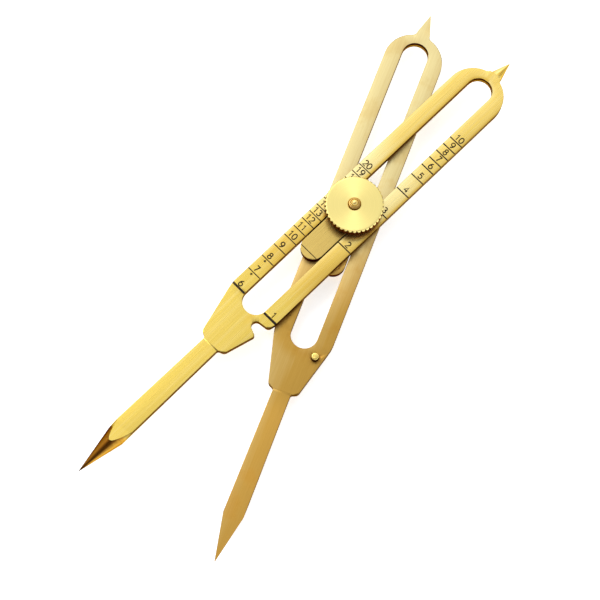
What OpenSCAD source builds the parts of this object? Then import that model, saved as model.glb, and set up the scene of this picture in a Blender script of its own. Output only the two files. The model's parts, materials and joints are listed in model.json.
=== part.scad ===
// Proportional divider: two slotted legs, each with a point at both ends, cross on a pivot that
// slides along their slots. The place of the pivot sets the ratio between the two openings.
//
// The origin is on the pivot's axis, on the flat rear face of the bolt's head, with +Z towards the
// thumb nut. The front leg lies along X, with its short point at +X. Sizes are in millimetres.
// Places along a leg are measured from its long tip.

/* [Legs] */
// Length of a leg from tip to tip
leg_length = 203; // [180:1:240]
// Thickness of the leg plates
plate_t = 3; // [2.5:0.1:4]
// Width of the blade where it meets the shoulder
blade_w = 6.2; // [5.5:0.1:8]
// How much wider the blade would be at the long tip
blade_taper = 0.9; // [0:0.1:1.5]
// Width of the slotted frame
frame_w = 20.5; // [19:0.1:24]
// Distance from the long tip to the shoulder's root
shoulder_at = 59.5; // [50:0.5:64]
// Width across the shoulder's corners
shoulder_w = 10.6; // [9:0.1:13]
// How far the shoulder's ledge leans towards the head
shoulder_lean = 0.95; // [0.5:0.05:1.5]
// Distance from the long tip to where the frame reaches its full width
full_width_at = 79; // [77:0.5:86]
// Length of the short point, from the head's top to its tip
short_point_l = 8.2; // [7:0.1:11]
// Width of the short point's root, where it leaves the head
short_root_w = 4.7; // [4:0.1:5.5]
// Radius of the two fillets between the head and the short point
short_fillet_r = 1.6; // [1:0.1:2.5]
// Running gap between the two plates
plate_gap = 0.1; // [0.05:0.05:0.3]

/* [Ground points] */
// Half angle of the cone that the long points are ground to
long_point_angle = 11.8; // [9:0.1:15]
// Half angle of the cone that the short points are ground to
short_point_angle = 17.5; // [14:0.5:20]
// Angle at which the short point's grind runs out on to the head
grind_runout_angle = 65; // [55:1:75]
// Radius left on the very tips
tip_r = 0.1; // [0.05:0.05:0.25]

/* [Slots] */
// Width of the slots
slot_w = 9.2; // [8.6:0.1:10]
// How far the slot starts before the frame reaches its full width
slot_lead = 3.5; // [2:0.5:5]
// Wall between the slot's far end and the top of the head
head_wall = 3.2; // [2.5:0.1:5]

/* [Setting as drawn] */
// Distance from the long tips to the pivot
pivot_at = 126; // [104:0.5:180]
// Angle between the legs
opening = 24.3; // [0:0.1:120]

/* [Sliders] */
// Side clearance of a slider in its slot
slider_gap = 0.4; // [0.1:0.05:0.6]
// Distance of a slider's faces inside the faces of its plate
slider_inset = 0.1; // [0.05:0.05:0.3]
// Reach of a slider from the pivot towards the long point
slider_tail = 23.4; // [22:0.1:25]
// Reach of a slider from the pivot towards the short point
slider_nose = 6.5; // [6:0.1:8]

/* [Alignment pin and notch] */
// Diameter of the alignment pin
pin_d = 2.5; // [2:0.1:3]
// How far the pin lies before the frame reaches its full width
pin_lead = 5; // [4:0.5:6]
// Distance of the pin from the leg's centre line
pin_side = 6; // [5.4:0.1:6.2]
// Clearance round the pin in the notch
notch_gap = 0.15; // [0.1:0.05:0.3]
// Extra room for the pin in the notch, towards the ear
notch_play = 0.6; // [0.2:0.1:1]
// Angle that the notch's wall towards the long point flares out by
notch_flare = 20; // [12:1:24]
// Angle that the ear's wall flares out by
notch_ear_flare = 8; // [8:1:14]
// Radius of the notch's corner towards the long point
notch_lip_r = 0.9; // [0.3:0.1:1.2]
// Radius of the ear that the notch leaves on the bar
notch_ear_r = 1.6; // [0.8:0.1:2]

/* [Scales and marks] */
// Distance of the front slider's index line from the pivot
index_reach = 21.25; // [20:0.05:21.5]
// Highest ratio on the lines scale
lines_last = 10; // [6:1:10]
// Highest number of sides on the circles scale
circles_last = 20; // [12:1:20]
// How far both scales stand from their exact places, towards the long point
scale_shift = 0.95; // [0:0.05:1.2]
// Length of the lines scale as a share of its exact length
lines_stretch = 1.03; // [1:0.005:1.04]
// Least distance between two graduations
graduation_gap = 3.4; // [3:0.05:3.5]
// Width of a graduation's V groove
graduation_w = 0.3; // [0.15:0.01:0.35]
// Width of the first graduation's groove
first_graduation_w = 0.65; // [0.3:0.01:0.8]
// Length of the three assembly marks on the back leg
tick_l = 2; // [1.5:0.1:2.5]
// Distance between neighbouring assembly marks
tick_pitch = 2.7; // [2.5:0.1:3.2]
// Width of an assembly mark's groove
tick_w = 0.45; // [0.3:0.05:0.6]
// Diameter of the punched dot on the back slider
dot_d = 0.9; // [0.5:0.1:1.2]
// Distance of the punched dot from the pivot
dot_reach = 20.3; // [19:0.1:21]

/* [Pivot bolt and washers] */
// Diameter of the bolt's flat head
head_d = 19; // [15:0.5:20]
// Thickness of the bolt's head
head_t = 2.4; // [1.8:0.1:4]
// Width across the flats of the square neck
neck_w = 5.8; // [5.7:0.1:6.2]
// Diameter of the journal that the front slider turns on
journal_d = 5.4; // [4.8:0.1:5.6]
// Radial clearance of the front slider on the journal
journal_gap = 0.05; // [0.02:0.01:0.1]
// Clearance round the square neck in the back slider
neck_gap = 0.05; // [0.02:0.01:0.15]
// Diameter of the threaded end
thread_d = 4; // [3:0.5:4.5]
// Clearance of the washers round the part of the bolt that they sit on
washer_gap = 0.2; // [0.1:0.05:0.4]
// Diameter of the washer under the bolt's head
rear_washer_d = 17; // [13:0.5:19]
// Thickness of the washer under the bolt's head
rear_washer_t = 0.6; // [0.4:0.1:1.2]
// Diameter of the washer under the nut
clamp_washer_d = 16; // [13:0.5:18]
// Thickness of the washer under the nut
clamp_washer_t = 0.9; // [0.6:0.1:1.5]

/* [Thumb nut] */
// Diameter over the knurl
nut_d = 19.7; // [16:0.1:24]
// Thickness of the knurled rim
rim_t = 3.2; // [2.4:0.1:5]
// Number of knurl teeth
knurl_teeth = 40; // [30:1:48]
// Depth of the knurl
knurl_depth = 0.4; // [0.3:0.05:0.8]
// Diameter of the hub that lifts the rim off the leg
hub_d = 13.5; // [11:0.5:15]
// Height of the hub
hub_t = 1.6; // [1:0.1:3]
// Radial clearance of the nut's bore on the threaded end
thread_gap = 0.05; // [0.02:0.01:0.1]
// Height of the bolt's threaded end above the nut
bolt_stand = 0.8; // [0.4:0.1:1.5]
// Diameter of the button on the bolt's end
button_d = 2.3; // [1.6:0.1:2.8]
// Height of the button's stem
button_stem = 0.35; // [0.2:0.05:1]

/* [Hidden] */
$fn = 96;

// Heights, from the rear face of the bolt's head upwards
rear_washer_z = head_t;
back_leg_z = rear_washer_z + rear_washer_t;
contact_z = back_leg_z + plate_t;
front_leg_z = contact_z + plate_gap;
clamp_washer_z = front_leg_z + plate_t;
nut_z = clamp_washer_z + clamp_washer_t;
nut_top_z = nut_z + hub_t + rim_t;
thread_top_z = nut_top_z + bolt_stand;
slider_t = plate_t - 2 * slider_inset;

// Places along a leg
head_top = leg_length - short_point_l;
head_c = head_top - frame_w / 2;
slot_end = head_top - head_wall;
slot_start = full_width_at - slot_lead;
pin_at = full_width_at - pin_lead;
blade_half = blade_w / 2;
blade_tip_half = blade_half + blade_taper / 2;
frame_half = frame_w / 2;
shoulder_root_r = 0.9;
shoulder_r = 1.8;
full_width_r = 14;
// How far an arc laps over the straight edges that it is tangent to
arc_lap = 0.002;
shoulder_corner = [shoulder_at + shoulder_lean, shoulder_w / 2];
full_width_corner = [full_width_at, frame_half];

// The notch is a V whose walls are tangent to a circle that the alignment pin fits in with some play
notch_r = pin_d / 2 + notch_gap + notch_play / 2;
notch_c = [pin_at, -pin_side] + unit([1, -1]) * notch_play / 2;
lip_wall = [-sin(notch_flare), -cos(notch_flare)];
ear_wall = [sin(notch_ear_flare), -cos(notch_ear_flare)];
notch_apex = crossing(notch_c + notch_r * [-cos(notch_flare), sin(notch_flare)], lip_wall,
                      notch_c + notch_r * [cos(notch_ear_flare), sin(notch_ear_flare)], ear_wall);
flank = flip(full_width_corner) - flip(shoulder_corner);
notch_lip = crossing(notch_apex, lip_wall, flip(shoulder_corner), flank);
notch_ear = crossing(notch_apex, ear_wall, flip(shoulder_corner), flank);

// Beside the ear, the full width's corner is rounded as far as the ear leaves room for its arc
ear_end = corner_arc(notch_apex, notch_ear, flip(full_width_corner), notch_ear_r)[1];
arc_share = 0.9;
room_r = arc_share * norm(flip(full_width_corner) - ear_end) * tan(acos(unit(-flank) * [1, 0]) / 2);

// Where the graduations stand. The pivot is at leg_length * r / (r + 1) for a ratio of r to 1, which
// is leg_length / 2 * (r - 1) / (r + 1) past its place for 1 to 1, and a circle's radius is
// 1 / (2 * sin(180 / n)) times the side of the regular polygon with n corners
first_lines = 1;
first_circles = 6;
function ratio_at(r, stretch = 1) = leg_length / 2 - index_reach - scale_shift
    + stretch * leg_length / 2 * (r - 1) / (r + 1);
function lines_ratio(n) = n;
function circles_ratio(n) = 1 / (2 * sin(180 / n));
function spread(at, i = 1) = i >= len(at) ? at
    : spread([for (k = [0:len(at) - 1]) k == i ? max(at[i], at[i - 1] + graduation_gap) : at[k]], i + 1);
lines_at = spread([for (n = [first_lines:lines_last]) ratio_at(lines_ratio(n), lines_stretch)]);
circles_at = spread([for (n = [first_circles:circles_last]) ratio_at(circles_ratio(n))]);

brass = [0.87, 0.72, 0.36];
pale_brass = [0.92, 0.80, 0.50];
satin_brass = [0.80, 0.63, 0.33];

// A point mirrored in the leg's centre line
function flip(p) = [p.x, -p.y];

// Where the line from p along d meets the line from q along e
function crossing(p, d, q, e) = p + d * cross(q - p, e) / cross(d, e);

function unit(a) = a / norm(a);

// The two tangent points and the centre of an arc of radius r in the corner at v, after p, before n
function corner_arc(p, v, n, r) =
    let (to_p = unit(p - v), to_n = unit(n - v), half = acos(to_p * to_n) / 2)
    [v + to_p * r / tan(half), v + to_n * r / tan(half), v + unit(to_p + to_n) * r / sin(half)];

// The slice of a circle that turns a corner's arc, with its centre and a little more than its span
module pie(arc, r) {
    back = unit(2 * arc[2] - arc[0] - arc[1]) * 0.3 * r;
    reach = 1.4 * r / norm((arc[0] + arc[1]) / 2 - arc[2]);
    intersection() {
        translate(arc[2]) circle(r = r + arc_lap);
        translate(arc[2] + back)
            polygon([[0, 0], (arc[0] - arc[2]) * reach, (arc[1] - arc[2]) * reach]);
    }
}

// A polygon whose corners, each given anticlockwise as [x, y, radius], are true arcs
module rounded_outline(corners) {
    n = len(corners);
    at = [for (c = corners) [c.x, c.y]];
    function turn(i) = cross(at[i] - at[(i + n - 1) % n], at[(i + 1) % n] - at[i]);
    arcs = [for (i = [0:n - 1]) corners[i].z > 0
        ? corner_arc(at[(i + n - 1) % n], at[i], at[(i + 1) % n], corners[i].z)
        : [at[i]]];
    difference() {
        union() {
            polygon([for (arc = arcs) for (k = [0:min(1, len(arc) - 1)]) arc[k]]);
            for (i = [0:n - 1]) if (corners[i].z > 0 && turn(i) > 0) pie(arcs[i], corners[i].z);
        }
        for (i = [0:n - 1]) if (corners[i].z > 0 && turn(i) < 0) pie(arcs[i], corners[i].z);
    }
}

// A bar with two round ends, from x0 to x1
module round_bar(x0, x1, w) {
    translate([x0 + w / 2, -w / 2]) square([x1 - x0 - w, w]);
    translate([x0 + w / 2, 0]) circle(d = w);
    translate([x1 - w / 2, 0]) circle(d = w);
}

// One side of a leg, from the long point to the head
function leg_side(notch) = [
    [0, -blade_tip_half, 0],
    [shoulder_at, -blade_half, shoulder_root_r],
    [shoulder_corner.x, -shoulder_corner.y, shoulder_r],
    if (notch) [notch_lip.x, notch_lip.y, notch_lip_r],
    if (notch) [notch_apex.x, notch_apex.y, notch_r],
    if (notch) [notch_ear.x, notch_ear.y, notch_ear_r],
    [full_width_corner.x, -full_width_corner.y, notch ? min(full_width_r, room_r) : full_width_r],
    [head_c, -frame_half, 0]];

// The stub that the short point is ground from, with a fillet to the head on both sides
module short_stub() {
    root = short_root_w / 2;
    translate([head_c, -root]) square([leg_length - head_c, short_root_w]);
    side = root + short_fillet_r;
    along = sqrt(pow(frame_half + short_fillet_r, 2) - pow(side, 2));
    translate([head_c, 0]) for (s = [0, 1]) mirror([0, s]) difference() {
        polygon([[0, 0], [along, 0], [along, side]]);
        translate([along, side]) circle(r = short_fillet_r + arc_lap);
    }
}

module leg_outline(notch) {
    near = leg_side(notch);
    far = leg_side(false);
    difference() {
        union() {
            rounded_outline(concat(near, [for (i = [len(far) - 1:-1:0]) [far[i].x, -far[i].y, far[i].z]]));
            translate([head_c, 0]) circle(r = frame_half);
            short_stub();
        }
        round_bar(slot_start, slot_end, slot_w);
    }
}

// Everything inside the two cones that the points are ground to, whose axis is in the contact plane
module point_grind() {
    past_corner = 0.5;
    blade_corner_r = norm([blade_tip_half, plate_t]) + past_corner;
    long_l = (blade_corner_r - tip_r) / tan(long_point_angle);
    short_l = (short_root_w / 2 - tip_r) / tan(short_point_angle);
    runout_l = frame_half / tan(grind_runout_angle);
    clear_r = frame_w;
    rotate([0, 90, 0]) rotate_extrude() polygon([
        [0, 0], [tip_r, 0], [blade_corner_r, long_l], [clear_r, long_l],
        [clear_r, leg_length - short_l - runout_l],
        [short_root_w / 2 + frame_half, leg_length - short_l - runout_l],
        [short_root_w / 2, leg_length - short_l], [tip_r, leg_length], [0, leg_length]]);
}

// A V groove cut w wide into a face at z = 0, from y0 to y1
module v_groove(w, y0, y1) {
    side = w / sqrt(2);
    translate([0, y0, 0]) rotate([0, 45, 0]) translate([-side / 2, 0, -side / 2])
        cube([side, y1 - y0, side]);
}

// The grooves of one scale, across the bar on the side that s points to
module graduations(at, s) {
    past_edge = 0.5;
    inner = slot_w / 2 - past_edge;
    outer = frame_half + past_edge;
    for (i = [0:len(at) - 1]) translate([at[i], 0, 0])
        v_groove(i == 0 ? first_graduation_w : graduation_w, s > 0 ? inner : -outer, s > 0 ? outer : -inner);
}

// Three short slanting grooves in a row on the bar, which pair the leg with its partner
module assembly_marks() {
    slant = 13;
    first_mark = full_width_at + 5.6;
    bar_middle = (frame_half + slot_w / 2) / 2;
    for (i = [0:2]) translate([first_mark + i * tick_pitch, bar_middle, 0])
        rotate([0, 0, slant]) v_groove(tick_w, -tick_l / 2, tick_l / 2);
}

// Places a leg or what it carries: long tip at the left, pivot on the Z axis
module on_front() { translate([-pivot_at, 0, front_leg_z]) children(); }
module on_back() { rotate([0, 0, opening]) translate([-pivot_at, 0, back_leg_z]) children(); }

module front_leg() {
    color(brass) on_front() difference() {
        intersection() {
            linear_extrude(plate_t) leg_outline(notch = true);
            point_grind();
        }
        translate([0, 0, plate_t]) graduations(circles_at, 1);
        translate([0, 0, plate_t]) graduations(lines_at, -1);
    }
}

module back_leg() {
    color(satin_brass) on_back() difference() {
        intersection() {
            linear_extrude(plate_t) leg_outline(notch = false);
            translate([0, 0, plate_t]) mirror([0, 0, 1]) point_grind();
        }
        translate([pin_at, -pin_side, -1]) cylinder(d = pin_d, h = plate_t + 2);
        translate([0, 0, plate_t]) assembly_marks();
    }
}

// The pin stands out of the back leg by the thickness of the front one
module alignment_pin() {
    crown = 0.25;
    color(brass) on_back() translate([pin_at, -pin_side, 0]) {
        cylinder(d = pin_d, h = 2 * plate_t - crown);
        translate([0, 0, 2 * plate_t - crown]) cylinder(d1 = pin_d, d2 = pin_d - 2 * crown, h = crown);
    }
}

// Outline of a slider, with the pivot at the origin
module slider_outline() { round_bar(-slider_tail, slider_nose, slot_w - 2 * slider_gap); }

module front_slider() {
    color(pale_brass) translate([0, 0, front_leg_z + slider_inset]) difference() {
        linear_extrude(slider_t) difference() {
            slider_outline();
            circle(d = journal_d + 2 * journal_gap);
        }
        translate([-index_reach, 0, slider_t]) v_groove(graduation_w, -slot_w / 2, slot_w / 2);
    }
}

module back_slider() {
    dot_depth = 0.3;
    color(satin_brass) rotate([0, 0, opening]) translate([0, 0, back_leg_z + slider_inset]) difference() {
        linear_extrude(slider_t) difference() {
            slider_outline();
            square(neck_w + 2 * neck_gap, center = true);
        }
        translate([-dot_reach, -slot_w / 4, slider_t - dot_depth])
            cylinder(d1 = 0.1, d2 = dot_d, h = dot_depth);
    }
}

// Flat head, square neck in the back slider, round journal in the front slider, threaded end, button
module pivot_bolt() {
    edge = 0.4;
    neck_top = contact_z - slider_inset;
    journal_top = clamp_washer_z - slider_inset;
    button_z = thread_top_z + button_stem;
    button_r = button_d / 2;
    ledge = 0.08;
    stem_r = button_r + button_stem;
    color(brass) {
        rotate_extrude() polygon([
            [0, 0], [head_d / 2 - edge, 0], [head_d / 2, edge],
            [head_d / 2, head_t - edge], [head_d / 2 - edge, head_t], [0, head_t]]);
        rotate([0, 0, opening]) translate([-neck_w / 2, -neck_w / 2, head_t / 2])
            cube([neck_w, neck_w, neck_top - head_t / 2]);
        rotate_extrude() polygon([
            [0, head_t / 2], [journal_d / 2, head_t / 2], [journal_d / 2, journal_top],
            [thread_d / 2, journal_top], [thread_d / 2, thread_top_z - edge],
            [thread_d / 2 - edge, thread_top_z], [stem_r, thread_top_z],
            [button_r + ledge, button_z], [0, button_z]]);
        translate([0, 0, button_z]) sphere(r = button_r);
    }
}

module washer(outer_d, inner_d, t) {
    edge = 0.15;
    rotate_extrude() polygon([
        [inner_d / 2, 0], [outer_d / 2 - edge, 0], [outer_d / 2, edge],
        [outer_d / 2, t - edge], [outer_d / 2 - edge, t], [inner_d / 2, t]]);
}

// Its hole clears the corners of the square neck
module rear_washer() {
    color(pale_brass) translate([0, 0, rear_washer_z])
        washer(rear_washer_d, neck_w * sqrt(2) + 2 * washer_gap, rear_washer_t);
}

module clamp_washer() {
    color(pale_brass) translate([0, 0, clamp_washer_z])
        washer(clamp_washer_d, thread_d + 2 * washer_gap, clamp_washer_t);
}

// Straight knurl: each tooth has a narrow crest and a V-shaped root
module knurl_outline() {
    step = 360 / knurl_teeth;
    crest = step / 5;
    polygon([for (i = [0:knurl_teeth - 1])
        for (p = [[nut_d / 2, -crest], [nut_d / 2, crest], [nut_d / 2 - knurl_depth, step / 2]])
            p[0] * [cos(i * step + p[1]), sin(i * step + p[1])]]);
}

module thumb_nut() {
    inside_roots = 0.05;
    rim_edge = knurl_depth + inside_roots;
    edge_r = nut_d / 2 - rim_edge;
    past_edge = rim_edge + 0.1;
    color(pale_brass) translate([0, 0, nut_z]) difference() {
        union() {
            cylinder(d = hub_d, h = hub_t + rim_t / 2);
            translate([0, 0, hub_t]) intersection() {
                linear_extrude(rim_t) knurl_outline();
                rotate_extrude() polygon([
                    [0, 0], [edge_r, 0], [edge_r + past_edge, past_edge],
                    [edge_r + past_edge, rim_t - past_edge], [edge_r, rim_t], [0, rim_t]]);
            }
        }
        translate([0, 0, -1]) cylinder(d = thread_d + 2 * thread_gap, h = hub_t + rim_t + 2);
    }
}

front_leg();
back_leg();
alignment_pin();
front_slider();
back_slider();
pivot_bolt();
rear_washer();
clamp_washer();
thumb_nut();
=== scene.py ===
import json
import math

import bmesh
import bpy
import numpy as np
from mathutils import Matrix, Vector

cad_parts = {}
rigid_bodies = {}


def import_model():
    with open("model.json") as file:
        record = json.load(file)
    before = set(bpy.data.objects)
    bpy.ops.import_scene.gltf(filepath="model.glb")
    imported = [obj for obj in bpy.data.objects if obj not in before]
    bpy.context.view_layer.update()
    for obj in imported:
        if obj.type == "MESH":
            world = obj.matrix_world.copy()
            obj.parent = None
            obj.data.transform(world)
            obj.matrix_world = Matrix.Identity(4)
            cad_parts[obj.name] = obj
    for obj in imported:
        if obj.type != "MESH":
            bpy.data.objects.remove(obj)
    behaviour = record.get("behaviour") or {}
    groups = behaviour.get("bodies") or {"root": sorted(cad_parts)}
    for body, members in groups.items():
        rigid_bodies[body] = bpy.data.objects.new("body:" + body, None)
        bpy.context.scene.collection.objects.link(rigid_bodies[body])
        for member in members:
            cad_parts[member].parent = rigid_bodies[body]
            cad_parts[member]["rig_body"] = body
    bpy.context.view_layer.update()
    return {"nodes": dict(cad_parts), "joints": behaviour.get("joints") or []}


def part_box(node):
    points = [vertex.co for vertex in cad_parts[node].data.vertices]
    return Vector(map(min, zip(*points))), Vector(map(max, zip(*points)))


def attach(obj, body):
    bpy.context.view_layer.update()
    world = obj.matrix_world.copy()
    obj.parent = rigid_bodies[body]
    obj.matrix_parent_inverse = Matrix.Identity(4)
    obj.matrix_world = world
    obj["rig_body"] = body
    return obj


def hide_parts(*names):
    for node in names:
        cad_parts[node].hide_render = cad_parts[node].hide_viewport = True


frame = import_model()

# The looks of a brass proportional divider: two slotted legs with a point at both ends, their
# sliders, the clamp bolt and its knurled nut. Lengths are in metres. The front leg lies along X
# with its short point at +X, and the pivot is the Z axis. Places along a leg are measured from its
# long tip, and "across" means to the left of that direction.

MM = 0.001


# ---------------------------------------------------------------- sizes read from the frame

def joint(name):
    return next(j for j in frame["joints"] if j["name"] == name)


LEG_LOW, LEG_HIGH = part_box("front_leg")
PIVOT_AT = -LEG_LOW.x
LEG_LENGTH = LEG_HIGH.x - LEG_LOW.x
FRAME_HALF = LEG_HIGH.y
FRONT_TOP = LEG_HIGH.z
PLATE_T = LEG_HIGH.z - LEG_LOW.z
BACK_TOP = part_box("back_leg")[1].z
OPENING = math.radians(-joint("leg_opening")["range_deg"][0])
SLIDER_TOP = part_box("front_slider")[1].z
NUT_LOW, NUT_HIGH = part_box("thumb_nut")
BOLT_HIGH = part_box("pivot_bolt")[1]
PIN_LOW, PIN_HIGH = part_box("alignment_pin")

# Half the slot's width, and the places of the centres of its two round ends
SLOT_HALF = 4.6 * MM
SLOT_NEAR_AT = 80.1 * MM
SLOT_FAR_AT = 187.0 * MM
# The long point's ground facets end before this place
GROUND_TO = 20 * MM
# How far the plates' edges are eased, and the face attribute that marks the bevels
EDGE_EASE = 0.12 * MM
EASED = "eased"
# A face is flat where its normal's height is past the first, and upright where it is under the second
FLAT_PAST, UPRIGHT_UNDER = 0.9995, 0.02


# ---------------------------------------------------------------- meshes

def make_piece(name, points, faces, body, material, smooth_angle=None):
    """Puts points (n, 3) and faces (m, 4 or 3) into a new mesh object that rides on a body."""
    mesh = bpy.data.meshes.new(name)
    mesh.from_pydata(np.asarray(points).tolist(), [], [list(map(int, f)) for f in faces])
    mesh.validate()
    if smooth_angle is not None:
        mesh.shade_smooth()
        mesh.set_sharp_from_angle(angle=math.radians(smooth_angle))
    return place_piece(name, mesh, body, material)


def place_piece(name, mesh, body, material):
    """Puts a mesh in the scene as a piece that rides on a body."""
    piece = bpy.data.objects.new(name, mesh)
    bpy.context.scene.collection.objects.link(piece)
    mesh.materials.append(material)
    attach(piece, body)
    return piece


def grid_faces(rows, columns):
    """Quads between the points of a rows x columns grid whose columns close on themselves."""
    r, c = np.meshgrid(np.arange(rows - 1), np.arange(columns), indexing="ij")
    across = (c + 1) % columns
    quads = np.stack([r * columns + c, r * columns + across,
                      (r + 1) * columns + across, (r + 1) * columns + c], axis=-1)
    return quads.reshape(-1, 4)


def ring_points(profile, segments, radius_at=None):
    """The points (r cos a, r sin a, z) for each (r, z) of the profile and each angle a.

    radius_at(r, z, a) may change the radius round the turn.
    """
    a = np.linspace(0, 2 * np.pi, segments, endpoint=False)[None, :]
    r, z = profile[:, :1], profile[:, 1:]
    radius = r + 0 * a if radius_at is None else radius_at(r, z, a)
    return np.stack([radius * np.cos(a), radius * np.sin(a), z + 0 * a], axis=-1).reshape(-1, 3)


def turned(profile, segments, radius_at=None):
    """A surface of revolution about Z, closed at both poles.

    The profile runs from the lower pole to the upper one, and its points turn as in ring_points.
    """
    profile = np.asarray(profile, float)
    rows = len(profile)
    poles = np.array([[0, 0, profile[0, 1]], [0, 0, profile[-1, 1]]])
    points = np.concatenate([ring_points(profile, segments, radius_at), poles])
    low, high = rows * segments, rows * segments + 1
    k = np.arange(segments)
    after = (k + 1) % segments
    caps = [(low, int(j), int(i)) for i, j in zip(k, after)]
    top = (rows - 1) * segments
    caps += [(high, int(top + i), int(top + j)) for i, j in zip(k, after)]
    return points, list(map(tuple, grid_faces(rows, segments))) + caps


def turned_ring(profile, segments, radius_at=None):
    """Like turned(), for a profile that closes on itself, as round a bore."""
    profile = np.asarray(profile, float)
    points = ring_points(profile, segments, radius_at)
    closing = grid_faces(len(profile) + 1, segments) % len(points)
    return points, list(map(tuple, closing))


def rounded_profile(corners, steps=4):
    """Corners (r, z, radius) joined by straight lines, with each corner turned by a small arc.

    The arc is the curve (1-t)^2 p + 2 t (1-t) v + t^2 q between the two points p and q that lie
    radius away from the corner v along its two sides.
    """
    out = []
    for i, (r, z, ease) in enumerate(corners):
        v = np.array([r, z])
        if ease == 0 or i in (0, len(corners) - 1):
            out.append(v)
            continue
        p, q = (v + ease * (n - v) / np.linalg.norm(n - v)
                for n in (np.array(corners[i - 1][:2]), np.array(corners[i + 1][:2])))
        t = np.linspace(0, 1, steps + 1)[:, None]
        out.extend((1 - t) ** 2 * p + 2 * t * (1 - t) * v + t ** 2 * q)
    return np.array(out)


def is_flat(face):
    return abs(face.normal.z) > FLAT_PAST


def read_field(data, field, count, kind=float):
    """One field of a Blender collection, as an array of count numbers."""
    values = np.empty(count, kind)
    data.foreach_get(field, values)
    return values


def shade_ground(mesh, turn, grind_axis):
    """Sets a mesh's corner normals, with the cone's true normal on each facet of a ground point.

    With x along the leg, which is turned by an angle, and r the way from the grinding axis, at the
    height grind_axis, to a corner, its normal is s x + sqrt(1 - s^2) r, where s is the facet's slope.
    """
    least_slope, least_r = 0.15, 0.01 * MM
    corners, polygons = len(mesh.loops), len(mesh.polygons)
    to_leg = np.array(Matrix.Rotation(-turn, 3, "Z")).T
    normals = read_field(mesh.corner_normals, "vector", corners * 3).reshape(-1, 3) @ to_leg
    vertex = read_field(mesh.loops, "vertex_index", corners, np.int32)
    places = read_field(mesh.vertices, "co", len(mesh.vertices) * 3).reshape(-1, 3) @ to_leg
    places = places[vertex]
    count = read_field(mesh.polygons, "loop_total", polygons, np.int32)
    eased = read_field(mesh.attributes[EASED].data, "value", polygons, np.int32)
    facets = read_field(mesh.polygons, "normal", polygons * 3).reshape(-1, 3) @ to_leg
    facet = np.repeat(facets, count, axis=0)
    along = places[:, 0] + PIVOT_AT
    lift = np.abs(facet[:, 2])
    sloped = (lift > UPRIGHT_UNDER) & (lift < FLAT_PAST) & (np.abs(facet[:, 0]) > least_slope)
    ground = sloped & (np.repeat(eased, count) == 0) & ((along < GROUND_TO) | (along > SLOT_FAR_AT))
    radial = (places - np.array([0, 0, grind_axis]))[ground, 1:]
    radial /= np.maximum(np.linalg.norm(radial, axis=1, keepdims=True), least_r)
    slope = facet[ground, :1]
    normals[ground] = np.concatenate([slope, np.sqrt(1 - slope ** 2) * radial], axis=1)
    mesh.normals_split_custom_set((normals @ to_leg.T).tolist())


def eased_copy(node, name, material, turn=0.0, grind_axis=None):
    """The node's own shape with its plate edges broken by a small bevel, standing for the node.

    Only edges between a flat face (normal along Z) and an upright wall are bevelled. The edge where
    a ground face runs out into a flat one stays crisp, however small its angle is.
    """
    crease, ground_crease, same_plane = math.radians(50), math.radians(6), math.radians(0.4)
    weld = 0.002 * MM
    source = frame["nodes"][node]
    work = bmesh.new()
    work.from_mesh(source.data)
    bmesh.ops.remove_doubles(work, verts=work.verts, dist=weld)
    bmesh.ops.dissolve_limit(work, angle_limit=same_plane, verts=work.verts, edges=work.edges)
    work.normal_update()
    flat = {f for f in work.faces if is_flat(f)}
    upright = {f for f in work.faces if abs(f.normal.z) < UPRIGHT_UNDER}
    plate_edges = [e for e in work.edges if len(e.link_faces) == 2
                   and len(flat.intersection(e.link_faces)) == 1
                   and len(upright.intersection(e.link_faces)) == 1]
    bevel = bmesh.ops.bevel(work, geom=plate_edges, offset=EDGE_EASE, offset_type="OFFSET", segments=2,
                            profile=0.5, affect="EDGES", clamp_overlap=False)
    eased = set(bevel["faces"])
    work.normal_update()
    for edge in work.edges:
        if len(edge.link_faces) == 2:
            one, other = edge.link_faces
            angle = one.normal.angle(other.normal, 0)
            ground = is_flat(one) != is_flat(other) and not eased.intersection(edge.link_faces)
            edge.smooth = angle < (ground_crease if ground else crease)
    mark = work.faces.layers.int.new(EASED)
    for face in work.faces:
        face.smooth = True
        face[mark] = int(face in eased)
    bmesh.ops.triangulate(work, faces=[f for f in work.faces if len(f.verts) > 4])
    mesh = bpy.data.meshes.new(name)
    work.to_mesh(mesh)
    work.free()
    piece = place_piece(name, mesh, source["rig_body"], material)
    even = piece.modifiers.new("even_shading", "WEIGHTED_NORMAL")
    even.keep_sharp = True
    even.weight = 90
    if grind_axis is not None:
        evened = piece.evaluated_get(bpy.context.evaluated_depsgraph_get())
        piece.data = bpy.data.meshes.new_from_object(evened)
        piece.modifiers.remove(even)
        shade_ground(piece.data, turn, grind_axis)
    piece.data.attributes.remove(piece.data.attributes[EASED])
    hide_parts(node)
    return piece


# ---------------------------------------------------------------- engraved lines and numerals

def arc(x, y, rx, ry, start, stop, count=14):
    """Points x + rx cos a, y + ry sin a, for a from start to stop in degrees."""
    a = np.radians(np.linspace(start, stop, count))
    return np.stack([x + rx * np.cos(a), y + ry * np.sin(a)], axis=-1)


def line(*points):
    return np.array(points, float)


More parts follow.
